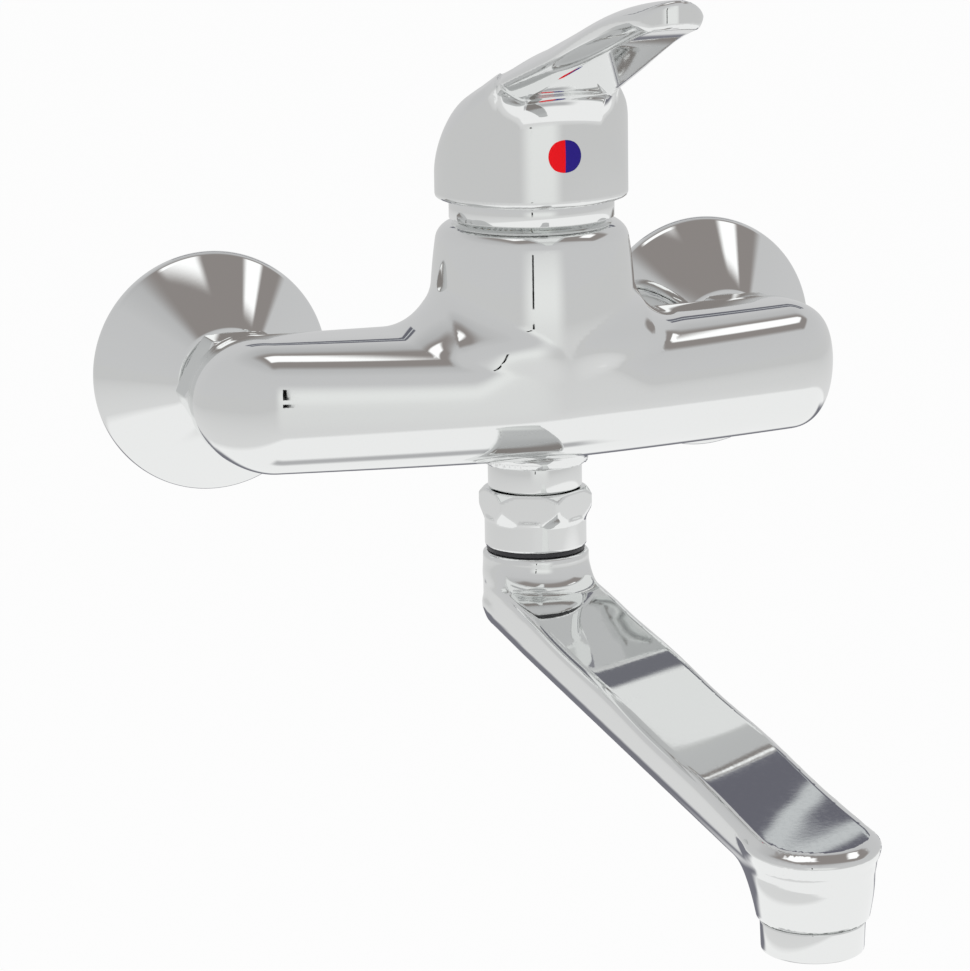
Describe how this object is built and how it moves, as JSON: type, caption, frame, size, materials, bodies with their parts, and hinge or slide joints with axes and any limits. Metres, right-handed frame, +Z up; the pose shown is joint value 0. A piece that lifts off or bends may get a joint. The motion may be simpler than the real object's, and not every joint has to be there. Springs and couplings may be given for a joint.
{
  "type": "wall mixer tap",
  "caption": "Wall-mounted single-lever mixer tap: bowed chrome body on rosettes, lever handle with a hot and cold index, and a flat swivel spout with an aerator.",
  "frame": {"origin": "middle between the two wall studs, on the wall face", "axes": "+X to the right along the wall, +Y into the wall, +Z up; the room is on -Y"},
  "size_m": [0.2182, 0.2784, 0.2154],
  "materials": {
    "chrome": "bright chrome plating on cast brass",
    "brass": "machined brass",
    "rubber_seal": "matt black rubber",
    "ceramic": "polished white ceramic",
    "white_plastic": "moulded white plastic",
    "black_plastic": "moulded black plastic",
    "screw_steel": "blackened steel",
    "index_red": "gloss red plastic",
    "index_blue": "gloss blue plastic"
  },
  "bodies": {
    "mixer_group": {"mixer_body": "chrome", "left_rosette": "chrome", "right_rosette": "chrome", "left_s_union": "chrome", "right_s_union": "chrome", "left_union_nut": "chrome", "right_union_nut": "chrome", "left_inlet_nipple": "brass", "right_inlet_nipple": "brass", "left_inlet_seal": "rubber_seal", "right_inlet_seal": "rubber_seal", "cartridge_base": "white_plastic", "cartridge_base_seals": "rubber_seal", "fixed_ceramic_disc": "ceramic", "cartridge_housing": "white_plastic", "retaining_nut": "brass", "cover_collar": "chrome", "spout_nipple": "chrome", "spout_seal": "rubber_seal", "spout_nut": "chrome", "slide_ring": "black_plastic"},
    "swivel_group": {"cartridge_swivel": "black_plastic", "pivot_pin": "brass"},
    "lever_group": {"lever_stem": "brass", "lever_handle": "chrome", "handle_set_screw": "screw_steel", "hot_index_half": "index_red", "cold_index_half": "index_blue"},
    "disc_group": {"moving_ceramic_disc": "ceramic", "disc_carrier": "black_plastic"},
    "spout_group": {"spout": "chrome", "aerator_housing": "chrome", "aerator_insert": "white_plastic", "aerator_seal": "rubber_seal"}
  },
  "joints": [
    {"name": "spout_swivel", "type": "hinge", "parent": "mixer_group", "child": "spout_group", "pos_m": [0, -0.0614, -0.04], "axis": [0, 0, 1], "range_deg": [-90, 90]},
    {"name": "temperature_turn", "type": "hinge", "parent": "mixer_group", "child": "swivel_group", "pos_m": [0, -0.0614, 0.046], "axis": [0, 0, 1], "range_deg": [-45, 45]},
    {"name": "flow_lift", "type": "hinge", "parent": "swivel_group", "child": "lever_group", "pos_m": [0, -0.0614, 0.046], "axis": [-1, 0, 0], "range_deg": [0, 18]},
    {"name": "disc_slide", "type": "slide", "parent": "swivel_group", "child": "disc_group", "axis": [0, -1, 0], "range_m": [0, 0.0043]}
  ],
  "couplings": [
    {"joint": "disc_slide", "follows": "flow_lift", "m_per_rad": 0.0135}
  ]
}
